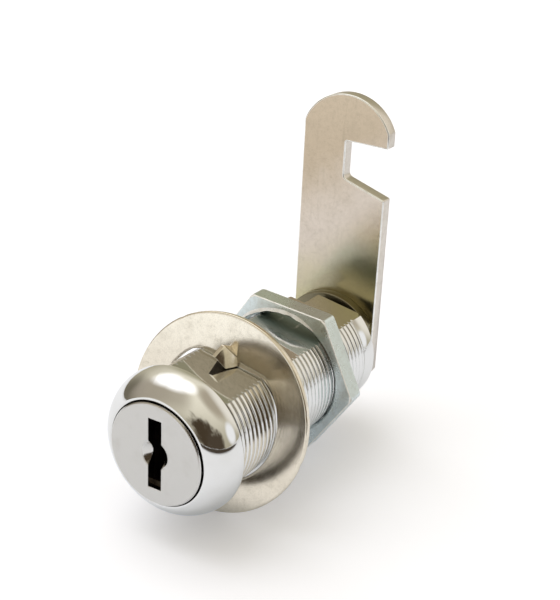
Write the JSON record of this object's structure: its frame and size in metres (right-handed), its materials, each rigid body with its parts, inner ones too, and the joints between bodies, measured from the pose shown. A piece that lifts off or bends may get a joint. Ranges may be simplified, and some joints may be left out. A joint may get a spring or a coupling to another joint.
{
  "type": "cam lock",
  "caption": "Cam lock with a domed chrome head, threaded double-D barrel, turning wafer plug, hooked cam, loose panel washer and hexagon mounting nut.",
  "frame": {"origin": "on the lock's axis, where the back of the head sits on the door's front face", "axes": "+Y along the axis from the head to the cam, +Z the way the cam points at rest, +X to the right seen from the front"},
  "size_m": [0.0294, 0.0542, 0.0549],
  "materials": {
    "chrome_plate": "bright chrome plate on die-cast zinc",
    "satin_cap": "satin stainless steel",
    "plug_zinc": "dark die-cast zinc",
    "wafer_brass": "stamped brass",
    "spring_steel": "bright spring steel",
    "stop_steel": "zinc-plated stamped steel",
    "nickel_cam": "satin nickel-plated stamped steel",
    "zinc_nut": "blue-passivated zinc plate",
    "nickel_washer": "yellowish nickel plate, fine grain"
  },
  "bodies": {
    "housing": {"housing": "chrome_plate"},
    "plug": {"plug": "plug_zinc", "face_cap": "satin_cap", "wafer_spring_1": "spring_steel", "wafer_spring_2": "spring_steel", "wafer_spring_3": "spring_steel", "wafer_spring_4": "spring_steel", "wafer_spring_5": "spring_steel", "wafer_spring_6": "spring_steel", "stop_plate": "stop_steel", "cam": "nickel_cam", "spring_washer": "spring_steel", "cam_nut": "zinc_nut"},
    "wafer_1": {"wafer_1": "wafer_brass"},
    "wafer_2": {"wafer_2": "wafer_brass"},
    "wafer_3": {"wafer_3": "wafer_brass"},
    "wafer_4": {"wafer_4": "wafer_brass"},
    "wafer_5": {"wafer_5": "wafer_brass"},
    "wafer_6": {"wafer_6": "wafer_brass"},
    "mounting_nut": {"mounting_nut": "zinc_nut"},
    "panel_washer": {"panel_washer": "nickel_washer"}
  },
  "joints": [
    {"name": "plug_turn", "type": "hinge", "parent": "housing", "child": "plug", "pos_m": [0, 0, 0], "axis": [0, 1, 0], "range_deg": [0, 90]},
    {"name": "wafer_1_slide", "type": "slide", "parent": "plug", "child": "wafer_1", "axis": [0, 0, 1], "range_m": [0, 0.0007], "stiffness_N_per_m": 100, "springref_m": 0.003, "deforming": ["wafer_spring_1"]},
    {"name": "wafer_2_slide", "type": "slide", "parent": "plug", "child": "wafer_2", "axis": [0, 0, -1], "range_m": [0, 0.0007], "stiffness_N_per_m": 100, "springref_m": 0.003, "deforming": ["wafer_spring_2"]},
    {"name": "wafer_3_slide", "type": "slide", "parent": "plug", "child": "wafer_3", "axis": [0, 0, 1], "range_m": [0, 0.0007], "stiffness_N_per_m": 100, "springref_m": 0.003, "deforming": ["wafer_spring_3"]},
    {"name": "wafer_4_slide", "type": "slide", "parent": "plug", "child": "wafer_4", "axis": [0, 0, -1], "range_m": [0, 0.0007], "stiffness_N_per_m": 100, "springref_m": 0.003, "deforming": ["wafer_spring_4"]},
    {"name": "wafer_5_slide", "type": "slide", "parent": "plug", "child": "wafer_5", "axis": [0, 0, 1], "range_m": [0, 0.0007], "stiffness_N_per_m": 100, "springref_m": 0.003, "deforming": ["wafer_spring_5"]},
    {"name": "wafer_6_slide", "type": "slide", "parent": "plug", "child": "wafer_6", "axis": [0, 0, -1], "range_m": [0, 0.0007], "stiffness_N_per_m": 100, "springref_m": 0.003, "deforming": ["wafer_spring_6"]},
    {"name": "nut_run", "type": "slide", "parent": "housing", "child": "mounting_nut", "axis": [0, 1, 0], "range_m": [-0.005, 0.007]},
    {"name": "washer_run", "type": "slide", "parent": "housing", "child": "panel_washer", "axis": [0, 1, 0], "range_m": [-0.005, 0.007]}
  ]
}
